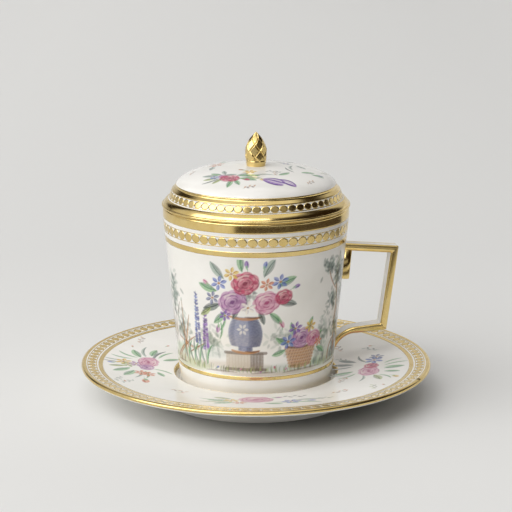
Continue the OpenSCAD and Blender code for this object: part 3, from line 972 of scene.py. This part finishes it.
def film(name, sheet, place, material, lift=ENAMEL_LIFT):
    """The painted part of a sheet as a thin skin; place(x, y) gives its points and outward directions."""
    painted = sheet.colour.min(axis=2) < BARE
    cells = painted[:-1, :-1] | painted[1:, :-1] | painted[:-1, 1:] | painted[1:, 1:]
    rows, cols = np.nonzero(cells)
    wide = len(sheet.x)
    corner = rows * wide + cols
    faces = np.stack((corner, corner + 1, corner + 1 + wide, corner + wide), axis=1)
    used, faces = np.unique(faces, return_inverse=True)
    x, y = np.meshgrid(sheet.x, sheet.y)
    points, out = place(x.ravel()[used], y.ravel()[used])
    colours = np.ones((len(used), 4))
    colours[:, :3] = sheet.colour.reshape(-1, 3)[used]
    points = points + out * lift
    seat(make(name, points.tolist(), faces.reshape(-1, 4).tolist(), [material], colours=colours), "enamel")


def units(rows):
    """The directions of several vectors, one to a row."""
    return rows / np.linalg.norm(rows, axis=1, keepdims=True)


def over(height, step=0.05):
    """Place on a turned surface seen from above, from its height at radius r."""
    def place(x, y):
        r = np.maximum(1e-6, np.hypot(x, y))
        lean = (height(r + step) - height(r - step)) / (2 * step)
        out = np.stack((-lean * x / r, -lean * y / r, np.ones(len(x))), axis=1)
        return np.stack((x, y, height(r)), axis=1), units(out)
    return place


def dome_z(r):
    """Height of the cover's dome at radius r."""
    return DOME_Z + (DOME_TOP - DOME_Z) * np.sqrt(np.maximum(0, 1 - (np.abs(r) / DOME_R) ** DOME_FULL))


def round_cup(x, y):
    """Place on the cup's side: x millimetres round it from the front, at height y."""
    a = x / CUP_MID_R - math.radians(90 + VIEW_TURN)
    lean = (cup_r(y + 0.1) - cup_r(y - 0.1)) / 0.2
    out = np.stack((np.cos(a), np.sin(a), -lean), axis=1)
    return np.stack((cup_r(y) * np.cos(a), cup_r(y) * np.sin(a), y), axis=1), units(out)


def paint_saucer(enamel):
    """Four sprays of garden flowers round the saucer, with twigs strewn between them."""
    sheet = Sheet(-66, 66, -66, 66, 0.25)
    # Front: a pink rose between yellow and blue flowers
    bouquet(sheet, 0, 45, [
        (blade, -8, 1, 172, 13), (blade, -9, -1, 188, 12, OLIVE), (leaf, -10, 0, 180, 8),
        (leaf, -9, 3, 160, 7, OLIVE), (leaf, -8, -3, 200, 8), (blade, 6, -3, -18, 10),
        (leaf, 3, -5, -12, 7), (blade, 12, -1, 8, 13, SAGE), (blade, 12, -4, -6, 12),
        (daisy, -9, 0, 20, 6, YELLOW), (daisy, -6, -4, 0, 5, ORANGE), (daisy, 13, -2, 10, 7),
        (bud, 18, -1, -8, 4, BLUE), (rose, 0, 2, 0, 11), (bud, 6, 5, 20, 4, MAUVE),
        (sprig, 9, 6, 5, 9, DUSK), (sprig, 22, 1, 5, 6, SAGE)])
    # Left: the fullest spray
    bouquet(sheet, -92, 46, [
        (blade, -8, -1, 235, 10), (blade, -6, -3, 255, 9), (blade, -3, -5, 268, 9, SAGE),
        (leaf, -9, 0, 205, 9), (leaf, -12, 4, 170, 8), (blade, -10, 7, 150, 10), (leaf, -8, 9, 120, 7),
        (leaf, 6, -3, 320, 9), (leaf, 9, -1, 340, 9), (leaf, 4, -5, 290, 6.5, OLIVE),
        (blade, 8, 3, 10, 10), (leaf, 8, 8, 30, 6), (blade, -1, -5, 276, 9, DUSK),
        (blade, -10, 2, 185, 12, SAGE), (blade, -8, 5, 160, 12, DUSK), (blade, 4, 6, 60, 9),
        (blade, 10, 2, 350, 9, SAGE), (daisy, -1, -6, 0, 7, YELLOW), (daisy, 2, -4, 30, 6, OLIVE),
        (daisy, 0, -1, 30, 6, MAUVE), (rose, -4, 3.5, 0, 8.5, PINK, 1.7),
        (rose, 3, 3.5, 0, 6, MAUVE, 1.3), (bud, 2, -9, 270, 3, BLUE), (daisy, 11, 2, 0, 6, ORANGE),
        (daisy, 12, 5, 0, 6, ORANGE), (bud, 19, 4, 10, 6, ORANGE), (sprig, 22, 0, 330, 7, SAGE)])
    # Right: rose and blue flower with dark leaves
    bouquet(sheet, 86, 46, [
        (leaf, 6, 8, 80, 8, DUSK), (leaf, 9, 7, 60, 8, DUSK), (blade, 4, 8, 100, 9, DUSK),
        (leaf, -3, 8, 110, 8), (blade, -6, 7, 130, 9), (leaf, -6, -4, 250, 6.5), (leaf, -2, -4, 275, 8),
        (blade, 2, -4, 285, 9.5), (blade, 5, -4, 300, 8), (leaf, -10, 0, 200, 8, OLIVE),
        (blade, -10, -2, 215, 8), (daisy, 10, 0, 0, 8), (daisy, 14, -1, 40, 6, SLATE),
        (blade, -6, 9, 95, 9, SAGE), (blade, 0, -4, 262, 8), (blade, 8, 3, 20, 9, DUSK),
        (blade, -9, 4, 170, 9, SAGE), (rose, -4, 2, 0, 8.5, PINK, 1.7), (rose, 3, 1, 0, 6, CRIMSON, 1.2),
        (bud, -13, -7, 215, 4, YELLOW), (sprig, 12, 9, 60, 6, SAGE)])
    # Back: a mauve rose with white and yellow flowers
    bouquet(sheet, 178, 46, [
        (blade, -7, 0, 170, 12), (leaf, -8, -3, 195, 9), (leaf, -6, 5, 140, 7),
        (leaf, 6, 4, 35, 8, OLIVE), (leaf, 7, -2, -12, 9), (blade, 9, 1, 5, 13),
        (daisy, 9, -2, 0, 7, YELLOW), (daisy, -9, 1, 0, 7), (rose, 0, 1, 0, 11, MAUVE),
        (bud, 15, 0, 0, 4, CRIMSON), (bud, -15, -2, 185, 4, VIOLET), (sprig, -4, 7, 120, 6, SAGE)])
    for bearing, r, aim, hues in (
            (-43, 45, 20, BROWN), (41, 46, -15, BROWN), (-117, 54, 200, BROWN), (-130, 45, 160, BROWN),
            (114, 53, 30, SAGE), (125, 41, -20, BROWN), (142, 52, 60, BROWN), (-150, 55, 120, SAGE),
            (62, 38, 10, BROWN), (-68, 55, -30, SAGE), (55, 57, 40, OLIVE)):
        bouquet(sheet, bearing, r, [(sprig, -3, 0, aim, 7, hues), (bud, 3, 0, aim + 20, 1.8, ORANGE)])
    film("saucer_painting", sheet, over(slope_z), enamel)


def edge_z(r):
    """Height of the saucer's slope and of the top of its rounded edge at radius r."""
    round_z = EDGE_C[1] + np.sqrt(np.maximum(0, (SAUCER_EDGE / 2) ** 2 - (r - EDGE_C[0]) ** 2))
    return np.where(r < EDGE_C[0] - 0.15, slope_z(r), round_z)


def wear_saucer(dirt):
    """A small dark spot on the front right of the saucer's edge, where the gilding is chipped away."""
    x, y = polar(WORN_BEARING, WORN_R)
    sheet = Sheet(x - 2, x + 2, y - 2, y + 2, 0.1)
    side = polar(WORN_BEARING + 90, WORN_LONG / 2)
    stroke(sheet, [(x - side[0], y - side[1]), (x + side[0], y + side[1])], WORN_WIDE, BROWN[1], 1, 0.8)
    film("saucer_edge_chip", sheet, over(edge_z), dirt, WORN_LIFT)


def paint_cover(enamel):
    """A rose, a crocus and small flowers strewn over the dome."""
    sheet = Sheet(-30, 30, -30, 30, 0.2)
    bouquet(sheet, -31, 20, [
        (leaf, -4, 2, 170, 5.5), (leaf, -4, -1, 205, 5.5, OLIVE), (leaf, -5, 1, 188, 6.5, SAGE),
        (leaf, -3, 3, 130, 5, SAGE), (leaf, 2, 3, 60, 5, SAGE), (leaf, -2, -1, 250, 5, OLIVE),
        (leaf, 2, -1, 285, 6), (leaf, 3, -1, 325, 5), (leaf, 4, 1, 10, 7), (blade, 5, 2, 20, 8, SAGE),
        (blade, -3, -1, 225, 7, DUSK), (bud, 5, 1, 0, 3.5, CRIMSON), (rose, -2.5, 1, 0, 4, MAUVE, 1.3),
        (daisy, -5.5, -1, 0, 3.5), (rose, 0.6, 0, 0, 6.5, CRIMSON, 1.4)])
    bouquet(sheet, -12, 13, [
        (leaf, -3, -4, 10, 8), (leaf, -4, -2, 190, 5, SAGE), (blade, 3, -2, 15, 7, SAGE),
        (daisy, 0, 1.5, 20, 5, YELLOW), (bud, -2, 3.5, 160, 3, BROWN)])
    bouquet(sheet, 4, 20.5, [(blade, -8, 2, -8, 8), (crocus, 1, 0, -6, 12.5)])
    bouquet(sheet, 58, 19, [
        (leaf, -2, 3, 170, 6), (leaf, 2, 0, -25, 6), (blade, 0, 2, 60, 7, DUSK), (leaf, 4, -3, -50, 5),
        (blade, 2, 4, 30, 9, SAGE), (bud, 6, -4, -40, 3, SLATE), (sprig, -3, 5, 120, 6, DUSK)])
    bouquet(sheet, -110, 16, [
        (leaf, 4, 0, 10, 6, SAGE), (leaf, -4, 1, 190, 6), (daisy, 0, 0, 0, 6, ORANGE, 1.5)])
    bouquet(sheet, 118, 15, [
        (leaf, -4, 0, 190, 6, SAGE), (blade, 0, 1, 10, 8, DUSK), (leaf, 3, -2, -20, 6, SAGE),
        (daisy, 0, 2, 0, 4, SLATE)])
    bouquet(sheet, 176, 20, [
        (leaf, -6, 1, 175, 7), (leaf, 6, 0, 0, 7), (leaf, 0, -4, 270, 6, OLIVE), (daisy, -5, -1, 0, 5),
        (rose, 0, 0, 0, 8, MAUVE, 1.3), (bud, 6, 3, 30, 3, YELLOW)])
    for bearing, r, aim, hues in (
            (-6, 27, 20, BROWN), (34, 17, 60, BROWN), (50, 27, 10, BROWN), (-75, 25, 150, BROWN),
            (90, 25, -30, OLIVE), (145, 24, 20, BROWN), (-140, 24, 60, SAGE)):
        bouquet(sheet, bearing, r, [(sprig, -2, 0, aim, 4.5, hues)])
    film("cover_painting", sheet, over(dome_z), enamel)


def foliage(sheet, x, y, wide, tall, hues, count, dab=1.6, strength=0.35):
    """A soft crown of leaves: dabs of a damp brush, thickest in the middle."""
    for _ in range(count):
        u, v = HAND.normal(0, 0.36, 2)
        turn = HAND.uniform(0, 180)
        px, py = x + u * wide / 2, y + v * tall / 2
        half = round_point(turn, dab * HAND.uniform(0.4, 0.9))
        touch = [(px - half[0], py - half[1]), (px + half[0], py + half[1])]
        stroke(sheet, touch, dab * HAND.uniform(0.5, 1), hues[HAND.integers(2)], strength, 0.4, 0.3)


def tufts(sheet, left, right, y, tall, hues, count):
    """Grass along a line, in short upright strokes."""
    for x in HAND.uniform(left, right, count):
        lean = HAND.uniform(-0.6, 0.6)
        grass = bow((x, y), (x + lean, y + tall * HAND.uniform(0.5, 1)), 0.1)
        stroke(sheet, grass, 0.45, hues[HAND.integers(2)], 0.5, 0.2)


def vase(sheet, x, low, wide, tall, hues):
    """A footed garden vase: light on its left, deep shade on its right, with a gilt lip and foot."""
    def half(s):
        if s <= 0.14:
            return wide * 0.2
        return wide / 2 * (0.45 + 0.55 * math.sin(math.pi * (0.12 + 0.8 * s)) ** 0.8)

    rows = 22
    for k in range(rows):
        s = (k + 0.5) / rows
        y = low + tall * s
        w = half(s)
        row = tall / rows
        stroke(sheet, bow((x - w, y), (x + w, y), -0.04), 1.2 * row, hues[0], 0.85, 0.8, 0.2)
        stroke(sheet, bow((x + 0.25 * w, y), (x + 0.97 * w, y), -0.05), 1.3 * row, hues[1], 0.6, 0.7, 0.3)
        stroke(sheet, [(x - 0.9 * w, y), (x - 0.7 * w, y)], 1.2 * row, hues[1], 0.35, 0.7, 0.3)
    for y, w in ((low, 0.42 * wide), (low + tall, 0.5 * wide)):
        stroke(sheet, bow((x - w, y), (x + w, y), -0.08), 1.1, BROWN[0], 0.9, 0.6)
        stroke(sheet, bow((x, y - 0.2), (x + w, y - 0.1), -0.04), 0.6, BROWN[1], 0.8, 0.4)
    for turn in range(0, 360, 60):
        p = round_point(turn, wide * 0.17)
        c = (x - 1, low + 0.62 * tall)
        stroke(sheet, [(c[0] + 0.3 * p[0], c[1] + 0.3 * p[1]), (c[0] + p[0], c[1] + p[1])],
               1.0, WHITE[0], 0.75, 0.3)


def basket(sheet, x, low, wide, tall):
    """A woven basket with a rolled rim."""
    for k in range(7):
        y = low + tall * (k + 0.5) / 7
        w = wide / 2 * (0.72 + 0.28 * k / 6)
        stroke(sheet, bow((x - w, y), (x + w, y), -0.05), tall / 6, BROWN[0], 0.8, 0.8, 0.2)
        for i in range(9):
            px = x - w + 2 * w * (i + 0.5 + 0.5 * (k % 2)) / 9.5
            stroke(sheet, [(px, y - 0.3), (px + 0.5, y + 0.3)], 0.6, BROWN[1], 0.5, 0.5, 0.12)
    rim = bow((x - wide / 2, low + tall), (x + wide / 2, low + tall), -0.06)
    stroke(sheet, rim, 1.1, BROWN[1], 0.75, 0.7)


def spire(sheet, x, low, tall, hues):
    """A tall spike of small flowers on its stem, thinner towards its tip."""
    stroke(sheet, bow((x, low), (x + 0.6, low + tall), 0.02), 0.5, SAGE[1], 0.7, 0.4)
    for k in range(16):
        s = 0.3 + 0.7 * k / 16
        for side in (-1, 1):
            w = 2.1 * (1.15 - s)
            px, py = x + 0.6 * s + side * w * 0.5, low + tall * s + HAND.uniform(-0.4, 0.4)
            stroke(sheet, [(px - 0.4 * side, py - 0.3), (px + 0.5 * side, py + 0.3)], 1.3 * (1.2 - s) + 0.5,
                   hues[HAND.integers(2)], 0.75, 0.5)


def paint_cup(enamel):
    """A flower garden round the cup: a vase on a plinth, a basket, flower spikes, trees and open ground."""
    sheet = Sheet(-52, 52, 15.7, 61.8, 0.25)
    # Ground
    for left, right, y, wide, hue, strength in (
            (-50, -20, 18, 5, OLIVE[0], 0.55), (-26, 6, 19.5, 3.5, STONE[0], 0.6),
            (0, 34, 18.5, 4.5, SAGE[0], 0.5), (24, 50, 19.5, 6, LEAF[0], 0.45),
            (-14, 26, 16.8, 2.2, STONE[0], 0.75), (-46, -30, 22, 4, LEAF[0], 0.45),
            (-30, -12, 24, 5, SAGE[0], 0.3), (12, 40, 24, 6, SAGE[0], 0.35)):
        stroke(sheet, bow((left, y), (right, y), HAND.uniform(-0.02, 0.02)), wide, hue, strength, 0.2, 1.2)
    # Trees behind
    foliage(sheet, -41, 44, 15, 26, SAGE, 130, strength=0.45)
    foliage(sheet, -35, 31, 14, 14, SAGE, 70, strength=0.4)
    foliage(sheet, -46, 27, 12, 14, DUSK, 40, strength=0.35)
    for a, b in (((-41, 18), (-40.5, 40)), ((-40, 32), (-36, 41)), ((-42, 28), (-46, 38))):
        stroke(sheet, bow(a, b, 0.04), 0.9, BROWN[1], 0.5, 0.3)
    foliage(sheet, -19, 29, 20, 13, SAGE, 90, strength=0.32)
    foliage(sheet, 14, 30, 30, 12, SAGE, 90, strength=0.32)
    foliage(sheet, 31, 30, 12, 26, SAGE, 80, strength=0.35)
    foliage(sheet, 42, 24, 14, 12, DUSK, 60, strength=0.4)
    # A slender tree on the right, its leaves hanging into the open sky
    for path, wide in ((bow((43, 17), (40, 38), 0.06), 1.8), (bow((40, 36), (37, 50), -0.08), 1.2),
                       (bow((41, 34), (46, 46), 0.1), 1.0), (bow((38, 46), (31, 57), 0.1), 0.7),
                       (bow((39, 20), (43, 31), -0.2), 1.0), (bow((36, 18), (41, 27), 0.2), 0.8)):
        stroke(sheet, path, wide, BROWN[0], 0.75, 0.4)
        stroke(sheet, path + (0.3, 0), wide / 2, BROWN[1], 0.7, 0.3, 0.1)
    for x, y, wide, tall, count in ((33, 56, 13, 9, 60), (40, 52, 15, 14, 110), (46, 44, 12, 14, 70),
                                    (36, 42, 8, 10, 45), (41, 30, 13, 14, 60)):
        foliage(sheet, x, y, wide, tall, SAGE, count, 1.5, 0.5)
        foliage(sheet, x + 1, y - 1, 0.8 * wide, 0.8 * tall, DUSK, count // 3, 1.2, 0.5)
    # Flower spikes on the left
    for x, low, tall, hues in ((-25.5, 18.5, 29, BLUE), (-21.5, 19, 22, VIOLET)):
        spire(sheet, x, low, tall, hues)
    # Dry stems between them
    for a, b in (((-36, 17.5), (-30, 37)), ((-28, 17.5), (-37, 33)), ((-40, 19), (-27, 29)),
                 ((-33, 18), (-34.5, 42)), ((-39, 27), (-26, 24)), ((-31, 22), (-22, 27)),
                 ((-43, 17.5), (-34, 25))):
        stroke(sheet, bow(a, b, HAND.uniform(-0.05, 0.05)), 0.8, BROWN[0], 0.7, 0.3)
        stroke(sheet, bow(a, b, 0.02), 0.4, BROWN[1], 0.65, 0.3, 0.1)
    for x in (-33, -29, -26, -22):
        blade(sheet, x, 18.5, 100, 10, SAGE)
        blade(sheet, x + 1, 18.5, 72, 9)
    # Plinth and vase
    for k in range(12):
        x = -11.5 + k * 1.25
        stroke(sheet, [(x, 18.6), (x, 24.6)], 1.6, STONE[0] if k < 8 else STONE[1], 0.75, 0.9, 0.2)
    stroke(sheet, [(-12.5, 25), (4, 25)], 1.3, STONE[1], 0.8, 0.9)
    stroke(sheet, [(-12.5, 18.4), (4, 18.4)], 1.3, STONE[1], 0.8, 0.9)
    vase(sheet, -4.2, 26, 13, 13.5, SLATE)
    # Basket with its flowers
    basket(sheet, 19, 18.6, 14, 8.5)
    for x, y, turn in ((13, 28, 150), (25, 28, 30), (16, 31, 110), (22, 32, 70), (12, 26, 200),
                       (27, 25, -30)):
        leaf(sheet, x, y, turn, 6)
    for motif, x, y, size, hues in (
            (rose, 19, 30, 8, MAUVE), (daisy, 13, 29, 6, BLUE), (rose, 25, 29, 6.5, PINK),
            (daisy, 16, 34, 5.5, VIOLET), (daisy, 23, 34, 5, YELLOW), (daisy, 28, 27, 4, ORANGE)):
        motif(sheet, x, y, 15, size, hues)
    # The great spray in the vase
    for x, y, turn, size, hues in (
            (-14, 44, 200, 8, DUSK), (-15, 49, 165, 8, LEAF), (-12, 54, 130, 8, SAGE), (-5, 57, 95, 7, LEAF),
            (3, 55, 60, 8, SAGE), (8, 51, 25, 8, LEAF), (8, 45, -10, 8, DUSK), (5, 41, -45, 7, LEAF),
            (-12, 41, 225, 7, LEAF), (-7, 44, 250, 6, DUSK), (1, 42, 290, 6, DUSK), (-18, 42, 215, 6, OLIVE)):
        leaf(sheet, x, y, turn, size, hues)
    foliage(sheet, -4, 47, 20, 12, DUSK, 40, 1.4, 0.5)
    for x, y, turn in ((-12, 40, 250), (-14, 37, 265), (7, 40, 300)):
        blade(sheet, x, y, turn, 7)
    for motif, x, y, size, hues in (
            (daisy, -14, 52, 6, BLUE), (daisy, -17, 46, 5.5, SLATE), (daisy, 9, 53, 6, BLUE),
            (rose, -9, 45, 9.5, MAUVE), (rose, 4, 45, 9, PINK), (rose, -4, 52.5, 9, CRIMSON),
            (daisy, -9, 56, 5.5, YELLOW), (rose, 10.5, 47, 6, CRIMSON), (daisy, -3, 43, 5.5, WHITE),
            (daisy, 4, 52, 5, ORANGE), (daisy, -12, 39.5, 4.5, VIOLET)):
        motif(sheet, x, y, 20, size, hues)
    for x, y, turn, size, hues in (
            (-15, 36, 260, 3.5, MAUVE), (9, 38, 300, 3.5, PINK), (-3, 58, 95, 3.2, VIOLET),
            (3, 58, 75, 3, BLUE), (-18, 51, 150, 3, PINK), (14, 50, 20, 3, VIOLET)):
        bud(sheet, x, y, turn, size, hues)
    # Grass, fallen petals and the dark edge of the ground
    tufts(sheet, -48, 50, 17, 3.2, OLIVE, 150)
    tufts(sheet, 26, 50, 18, 5, DUSK, 50)
    for left, right in ((-22, -8), (-2, 8), (11, 30), (33, 44), (-44, -34)):
        stroke(sheet, bow((left, 16.8), (right, 17.2), 0.02), 0.7, BROWN[1], 0.5, 0.2)
    for x, y, hues in ((-7, 17.8, PINK), (8, 18.2, CRIMSON), (3, 17.4, MAUVE), (-17, 18, BLUE),
                       (12, 17.3, PINK)):
        bud(sheet, x, y, HAND.uniform(0, 180), 1.6, hues)
    film("cup_painting", sheet, round_cup, enamel)


def make_stage(paper, cloth):
    """Background paper that turns up far away, and dark cloth in front that the camera can't see."""
    section = [np.array([0, 0.0]), np.array([PAPER_FLAT, 0.0])]
    section += arc((PAPER_FLAT, PAPER_TURN), PAPER_TURN, -88, -25, 16)
    floor = lathe("background_paper", section, [paper])
    floor.data.flip_normals()
    turns = np.radians(np.linspace(*CLOTH_BEARINGS, 31) - 90 - VIEW_TURN)
    points = [(r * math.cos(t), r * math.sin(t), 1) for r in (CLOTH_FROM, CLOTH_TO) for t in turns]
    faces = [(i, i + len(turns), i + len(turns) + 1, i + 1) for i in range(len(turns) - 1)]
    dark = make("dark_cloth", points, faces, [cloth])
    dark.visible_camera = False
    dark.visible_transmission = False


def make_camera():
    """The camera of the photographed view, aimed at the axis."""
    turn, rise = math.radians(VIEW_TURN), math.radians(CAMERA_RISE)
    flat = CAMERA_AWAY * math.cos(rise)
    data = bpy.data.cameras.new("camera")
    data.lens = LENS
    data.sensor_width = SENSOR
    camera = bpy.data.objects.new("camera", data)
    camera.location = Vector((-flat * math.sin(turn), -flat * math.cos(turn),
                              AIM_Z + CAMERA_AWAY * math.sin(rise))) * MM
    aim = Vector((0, 0, AIM_Z * MM))
    camera.rotation_euler = (aim - camera.location).to_track_quat("-Z", "Y").to_euler()
    bpy.context.scene.collection.objects.link(camera)
    bpy.context.scene.camera = camera


def make_light():
    """A studio as a world: a soft box on the left, a lamp above the camera, pale ceiling and walls."""
    world = bpy.data.worlds.new("studio")
    bpy.context.scene.world = world
    world.use_nodes = True
    tree = world.node_tree
    tree.nodes.clear()
    way = add(tree, "TexCoord").outputs["Generated"]
    turned = add(tree, "Mapping", Vector=way, Rotation=(0, 0, math.radians(VIEW_TURN))).outputs[0]
    rise = add(tree, "SeparateXYZ", Vector=turned).outputs[2]

    def math_node(kind, a, b):
        return add(tree, "Math", {"operation": kind}, s0=a, s1=b).outputs[0]

    def edge(value, start, end):
        return add(tree, "MapRange", {"interpolation_type": "SMOOTHSTEP"}, Value=value,
                   From_Min=start, From_Max=end).outputs[0]

    def facing(bearing):
        return add(tree, "Mapping", Vector=turned, Rotation=(0, 0, -math.radians(bearing))).outputs[0]

    light = None
    for bearing, half, low, high, strength in FIELDS:
        part = add(tree, "SeparateXYZ", Vector=facing(bearing))
        aside = math_node("ARCTAN2", part.outputs[0], math_node("MULTIPLY", part.outputs[1], -1.0))
        wide = edge(math_node("ABSOLUTE", aside, 0.0), math.radians(half + FIELD_SOFT),
                    math.radians(half - FIELD_SOFT))
        tall = math_node("MULTIPLY", edge(rise, low - RISE_SOFT, low + RISE_SOFT),
                         edge(rise, high + RISE_SOFT, high - RISE_SOFT))
        field = math_node("MULTIPLY", math_node("MULTIPLY", wide, tall), strength)
        light = field if light is None else math_node("ADD", light, field)

    box = add(tree, "Mapping", Vector=facing(BOX_TURN), Rotation=(math.radians(BOX_RISE), 0, 0))
    side = add(tree, "SeparateXYZ", Vector=box.outputs[0])
    window = math_node("LESS_THAN", side.outputs[1], 0.0)
    for axis, half in ((0, BOX_HALF[0]), (2, BOX_HALF[1])):
        inside = edge(math_node("ABSOLUTE", side.outputs[axis], 0.0), half + BOX_SOFT, half - BOX_SOFT)
        window = math_node("MULTIPLY", window, inside)
    light = math_node("ADD", light, math_node("MULTIPLY", window, BOX_STRENGTH))
    # The unlit room is a dark brown
    room = add(tree, "Mix", {"data_type": "RGBA", "blend_type": "ADD"}, Factor=1.0, s6=ROOM, s7=light)
    # Where the camera looks past the paper, it sees a pale room
    seen = add(tree, "LightPath").outputs["Is Camera Ray"]
    room = add(tree, "Mix", {"data_type": "RGBA"}, Factor=seen, s6=room.outputs[2], s7=linear("#D4D4D2"))
    shade = add(tree, "Background", Color=room.outputs[2], Strength=1.0)
    out = add(tree, "OutputWorld")
    tree.links.new(shade.outputs[0], out.inputs[0])


make_camera()
make_light()
make_stage(paper_material(), cloth_material())
porcelain = porcelain_material()
gilding = gilding_material()
enamel = enamel_material()
make_saucer(porcelain)
make_cup(porcelain)
make_cover(porcelain)
make_handle(gilding, porcelain)
make_bud(gilding)
gild_saucer(gilding)
gild_cup(gilding)
gild_cover(gilding)
paint_saucer(enamel)
wear_saucer(dirt_material())
paint_cover(enamel)
paint_cup(enamel)

bpy.context.scene.view_settings.view_transform = "Standard"
